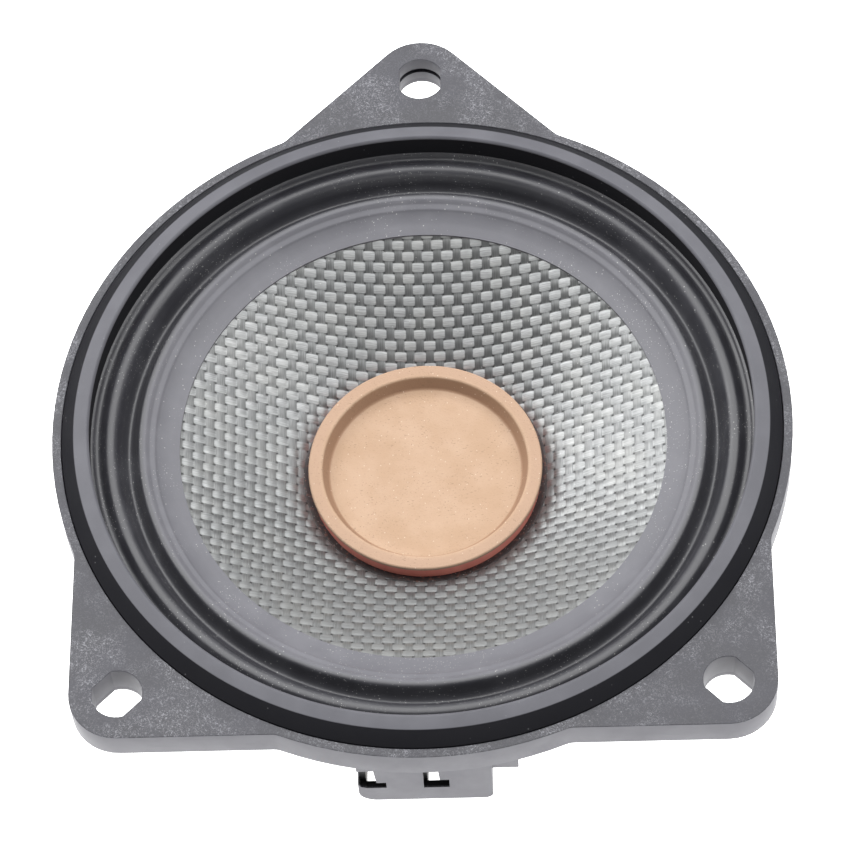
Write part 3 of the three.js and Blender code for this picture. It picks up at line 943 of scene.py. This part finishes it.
def make_glue_bead():
    """A bead of glue between former and cone, its top uneven as laid by hand."""
    outline = rounded([
        (FORMER, NECK_TOP - 0.7, 0), (NECK, NECK_TOP - 0.7, 0), (NECK + 0.1, NECK_TOP - 0.1, 0),
        (NECK + 0.85, NECK_TOP + 0.45, 0.1), (NECK + 0.35, NECK_TOP + 0.33, 0.3),
        (FORMER, NECK_TOP + 0.1, 0),
    ], 12)
    obj = lathe("neck_bead", outline, 240)
    waves, height, spread = 6, 0.05, 0.004
    rng = np.random.default_rng(7)
    phases = rng.uniform(0, 2 * pi, waves)
    for v in obj.data.vertices:
        a = atan2(v.co.y, v.co.x)
        r = hypot(v.co.x, v.co.y) / MM
        if v.co.z / MM > NECK_TOP and r > FORMER + 0.1:
            swell = sum(sin((5 + 4 * k) * a + phases[k]) / (1 + k) for k in range(waves))
            v.co.z += height * swell * MM
            v.co.x *= 1 + spread * swell
            v.co.y *= 1 + spread * swell
    return piece(obj, DIAPHRAGM, PAINTS["black_glue"], "black_glue", "neck_glue_bead")


def make_dust_cap():
    """A pressed cap: a flat rim, a step down and a floor that sags a little."""
    dish = CAP_TOP - CAP_RECESS
    sag, sag_edge, floor_edge, paper = 0.45, 13.2, 12.8, 0.45
    hollow = [(r, dish - sag * (1 - (r / sag_edge) ** 2))
              for r in np.linspace(0, floor_edge, 17).tolist()]
    outline = [(r, z - paper) for r, z in hollow] + rounded([
        (12.9, dish - paper, 0), (13.4, dish - paper, 0.6), (14.4, CAP_TOP - 0.55, 0.5),
        (CAP_RADIUS, CAP_TOP - 0.58, 0.1), (CAP_RADIUS, CAP_TOP, 0.35), (14.5, CAP_TOP, 0.4),
        (13.6, dish + 0.03, 0.5), (12.9, dish, 0),
    ], 8) + hollow[::-1]
    return piece(lathe("dished_cap", outline, 256), DIAPHRAGM, PAINTS["tan_paper"],
                 "tan_paper", "dust_cap")


def make_former():
    """The tube that carries the coil."""
    low, high = bottom_of("coil_former"), top_of("coil_former")
    wall = 0.3
    outline = [(FORMER - wall, low), (FORMER, low), (FORMER, high), (FORMER - wall, high)]
    return piece(lathe("film_former", outline, 192), DIAPHRAGM, PAINTS["red_film"],
                 "red_film", "coil_former")


def make_spider():
    """A corrugated cloth disc between the former and the basket's ledge."""
    waves, per_wave, swing, cloth = 6, 10, 0.55, 0.4
    inner, outer = 18.2, 28.2
    top = SPIDER_FLOOR + 0.6
    line = [(FORMER + 0.02, top), (17.4, top)]
    for k in range(waves * per_wave + 1):
        r = inner + (outer - inner) * k / (waves * per_wave)
        line.append((r, top + swing * sin(2 * pi * waves * (r - inner) / (outer - inner))))
    line += [(29.2, top), (LEDGE - 0.1, top)]
    outline = [(r, z - cloth) for r, z in line] + line[::-1]
    obj = lathe("cloth_spider", outline, 256)
    dress(obj, PAINTS["spider_cloth"])
    radial_blend(obj)
    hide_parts("spider")


def make_magnet_cup():
    """A pressed cup with the flange that the screws hold."""
    outline = [(0, 0)] + rounded([
        (0.01, 0, 0), (CUP_RADIUS, 0, 1.1), (CUP_RADIUS, YOKE_UNDER, 0.5),
        (CUP_FLANGE, YOKE_UNDER, 0.25), (CUP_FLANGE, YOKE_TOP, 0.25), (CUP_RADIUS, YOKE_TOP, 0.1),
        (CUP_RADIUS, CUP_TOP, 0.4), (CUP_BORE, CUP_TOP, 0.3), (CUP_BORE, CUP_FLOOR, 0.3),
        (0.01, CUP_FLOOR, 0),
    ], 10) + [(0, CUP_FLOOR)]
    cup = combine(lathe("pressed_cup", outline, 192), screw_holes(7, 10.5))
    return piece(cup, CHASSIS, PAINTS["plated_steel"], "plated_steel", "magnet_cup")


def make_screws():
    """Pan-head screws with crossed slots, each stopped at another angle."""
    crown, head, shank, tip = -1.6, 2.3, 1.1, 3.7
    slot, slot_width, slot_floor = 1.25, 0.26, -0.75
    for k in range(SCREWS):
        outline = [(0, crown)] + rounded([
            (0.01, crown, 0), (1.6, crown, 0.6), (head, -0.75, 0.35), (head, 0, 0.1),
            (shank, 0, 0), (shank, tip - 0.1, 0.3), (0.01, tip, 0),
        ], 12) + [(0, tip)]
        screw = shift(lathe(f"pan_screw_{k + 1}", outline, 48), z=YOKE_UNDER)
        blades = [block("blade", (-x, -y, YOKE_UNDER - 2), (x, y, YOKE_UNDER + slot_floor))
                  for x, y in ((slot, slot_width), (slot_width, slot))]
        combine(screw, blades)
        to_screw(spin(screw, 20 + 31 * k), k)
        piece(screw, CHASSIS, PAINTS["black_steel"], "black_steel", f"cup_screw_{k + 1}")


def braided_tube(name, centres, radius):
    """A closed tube with a braided skin, along a line that keeps nearly the same X."""
    sides, strands, lay, depth = 16, 4, 0.45, 0.08
    across = Vector((1, 0, 0))
    last = len(centres) - 1
    verts, faces = [], []
    for i, centre in enumerate(centres):
        ahead = centres[min(i + 1, last)] - centres[max(i - 1, 0)]
        ahead.x = 0
        up = ahead.normalized().cross(across)
        for k in range(sides):
            a = 2 * pi * k / sides
            braid = 1 + depth * cos(strands * (a + lay * i)) * cos(strands * (a - lay * i))
            verts.append((centre + (across * cos(a) + up * sin(a)) * radius * braid) * MM)
    for i in range(last):
        low, high = i * sides, (i + 1) * sides
        for k in range(sides):
            n = (k + 1) % sides
            faces.append((low + k, low + n, high + n, high + k))
    faces.append(tuple(range(sides)))
    faces.append(tuple(len(verts) - 1 - k for k in range(sides)))
    mesh = bpy.data.meshes.new(name)
    mesh.from_pydata([tuple(v) for v in verts], [], faces)
    tidy_normals(mesh)
    shade(mesh, 60)
    return link(mesh, name)


def make_leads():
    """Braided leads in a slack curve from each terminal to the cone's neck."""
    slack = smooth_line([(-40.0, 28.2), (-37.6, 26.2), (-31, 22.6), (-24.5, 20.4),
                         (-18.6, 19.35), (-16.9, 19.3)], 14)
    inward = (1, 1, 0.95, 0.9, 0.85, 0.85)
    shares = np.interp(np.linspace(0, len(inward) - 1, len(slack)), range(len(inward)), inward)
    for side in ("left", "right"):
        low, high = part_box(f"terminal_{side}")
        x = (low.x + high.x) / 2 / MM
        centres = [Vector((x * share, y, z)) for share, (y, z) in zip(shares.tolist(), slack)]
        lead = dress(braided_tube(f"braided_lead_{side}", centres, 0.46), PAINTS["lead_braid"])
        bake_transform(lead)
        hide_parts(f"tinsel_lead_{side}")


def finish_cad_node(name, material, edge=0.0):
    """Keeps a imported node, gives it its material and, where it shows, small rounded edges."""
    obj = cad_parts[name]
    dress(obj, material)
    if edge:
        weld = obj.modifiers.new("weld", "WELD")
        weld.merge_threshold = 0.001 * MM
        bevel = obj.modifiers.new("bevel", "BEVEL")
        bevel.width = edge * MM
        bevel.segments = 3
        bevel.limit_method = "ANGLE"
        bevel.angle_limit = radians(30)
        bevel.harden_normals = True


# Studio

def make_camera():
    """Looks down at the speaker from in front of the socket, a little rolled.

    Distances are in millimetres from the middle of the flange's face.
    """
    azimuth, elevation, roll = radians(4.405), radians(59.661), radians(5.316)
    distance, aside, raised = 556.36, 0.132, -0.038
    right = Vector((cos(azimuth), sin(azimuth), 0))
    back = Vector((cos(elevation) * sin(azimuth), -cos(elevation) * cos(azimuth), sin(elevation)))
    up = back.cross(right)
    across = right * cos(roll) - up * sin(roll)
    upright = right * sin(roll) + up * cos(roll)
    place = Vector((0, 0, FACE)) + back * distance + across * aside + upright * raised
    data = bpy.data.cameras.new("camera")
    data.sensor_width = 36
    data.lens = 172.5
    data.clip_start = 0.01
    camera = bpy.data.objects.new("camera", data)
    turn = Matrix((across, upright, back)).transposed().to_4x4()
    camera.matrix_world = Matrix.Translation(place * MM) @ turn
    bpy.context.scene.collection.objects.link(camera)
    bpy.context.scene.camera = camera


def softbox(name, place, target, size, power):
    """A rectangular light aimed at its target, in metres and watts."""
    data = bpy.data.lights.new(name, "AREA")
    data.shape = "RECTANGLE"
    data.size, data.size_y = size
    data.energy = power
    obj = bpy.data.objects.new(name, data)
    obj.location = place
    aim = Vector(target) - Vector(place)
    obj.rotation_euler = aim.to_track_quat("-Z", "Y").to_euler()
    bpy.context.scene.collection.objects.link(obj)


def make_studio():
    """A floor, a dim white sky and softboxes all round."""
    # A hair below the part, whose base would flicker in the same plane.
    half, height = 3.0, -0.02 * MM
    mesh = bpy.data.meshes.new("studio_floor")
    mesh.from_pydata([(-half, -half, height), (half, -half, height), (half, half, height),
                      (-half, half, height)], [], [(0, 1, 2, 3)])
    dress(link(mesh, "studio_floor"), PAINTS["floor"])
    world = bpy.data.worlds.new("studio")
    world.use_nodes = True
    background = world.node_tree.nodes["Background"]
    background.inputs["Color"].default_value = (1, 1, 1, 1)
    background.inputs["Strength"].default_value = 0.3
    bpy.context.scene.world = world
    softbox("top_softbox", (0.0, 0.65, 1.0), (0.0, 0.65, 0), (2.2, 1.5), 52)
    softbox("left_softbox", (-0.8, 0.5, 0.5), (0, 0, 0), (0.5, 0.5), 7)
    softbox("right_softbox", (0.95, -0.2, 0.6), (0, 0, 0), (0.4, 0.5), 4.5)
    softbox("rear_softbox", (0.0, 1.5, 0.3), (0, 0, 0), (2.4, 0.5), 4.5)
    softbox("front_softbox", (0.0, -1.2, 0.3), (0, 0, 0), (1.2, 0.5), 3.8)
    softbox("front_strip", (-0.7, -0.75, 0.35), (0, 0, 0), (0.2, 0.5), 1.0)
    bpy.context.scene.view_settings.view_transform = "Standard"


PAINTS = {
    "flange_plastic": flange_plastic(),
    "socket_plastic": flange_plastic(hollow=True),
    "ring_plastic": ring_plastic(),
    "surround_rubber": surround_rubber(),
    "woven_cone": woven_cloth(),
    "tan_paper": cap_paper(),
    "red_film": former_film(),
    "black_glue": black_glue(),
    "copper_wire": copper_wire(),
    "spider_cloth": spider_cloth(),
    "plated_steel": plated_steel(),
    "nickel": nickel(),
    "black_steel": black_steel(),
    "terminal_brass": terminal_brass(),
    "lead_braid": lead_braid(),
    "floor": floor_paint(),
}

make_camera()
make_basket()
make_front_ring()
make_surround()
make_cone()
make_glue_bead()
make_dust_cap()
make_former()
make_spider()
make_magnet_cup()
make_screws()
make_leads()
finish_cad_node("connector_housing", PAINTS["socket_plastic"], CAD_EDGE)
finish_cad_node("terminal_left", PAINTS["terminal_brass"], CAD_EDGE)
finish_cad_node("terminal_right", PAINTS["terminal_brass"], CAD_EDGE)
finish_cad_node("voice_coil", PAINTS["copper_wire"])
finish_cad_node("magnet_disc", PAINTS["nickel"])
finish_cad_node("pole_washer", PAINTS["plated_steel"])
make_studio()
